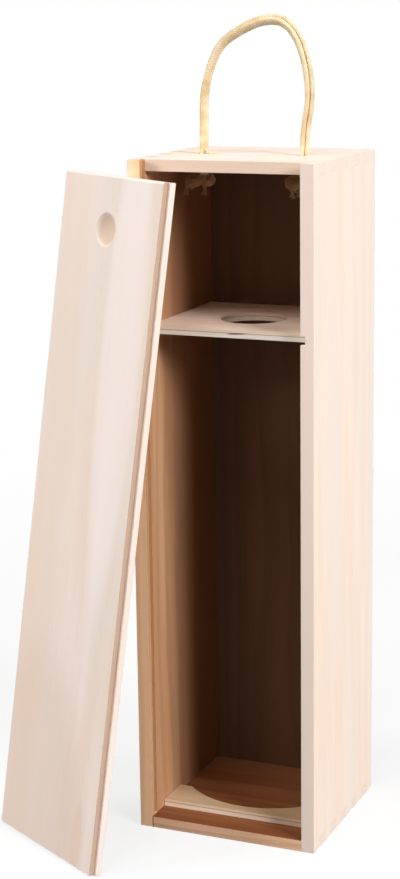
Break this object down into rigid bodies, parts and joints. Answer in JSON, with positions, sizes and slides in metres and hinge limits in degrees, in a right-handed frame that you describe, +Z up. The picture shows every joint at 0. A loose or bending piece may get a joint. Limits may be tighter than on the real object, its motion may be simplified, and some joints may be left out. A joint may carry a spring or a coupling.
{
  "type": "wooden wine box",
  "caption": "Upright wooden box for a single bottle, with a lid that slides in grooves and stands leaning beside it, a neck board inside and a rope handle on top.",
  "frame": {"origin": "centre of the underside of the box's base, without the leaning lid", "axes": "+Z up, -Y towards the box's open front, +X to the right seen from the front"},
  "size_m": [0.1719, 0.1648, 0.4304],
  "materials": {
    "side_wood": "matte",
    "end_wood": "matte",
    "lid_wood": "matte",
    "plywood": "matte",
    "rope": "matte"
  },
  "bodies": {
    "box": {"left_side_panel": "side_wood", "right_side_panel": "side_wood", "top_end_panel": "end_wood", "bottom_end_panel": "end_wood", "back_panel": "end_wood", "base_cradle": "plywood", "rope_handle": "rope", "left_knot": "rope", "right_knot": "rope"},
    "lid": {"sliding_lid": "lid_wood"},
    "neck_shelf": {"neck_board": "plywood"}
  },
  "joints": [
    {"name": "lid_slide", "type": "slide", "parent": "box", "child": "lid", "axis": [0, 0, 1], "range_m": [0, 0.354]},
    {"name": "neck_board_slide", "type": "slide", "parent": "box", "child": "neck_shelf", "axis": [0, -1, 0], "range_m": [0, 0.02]}
  ]
}
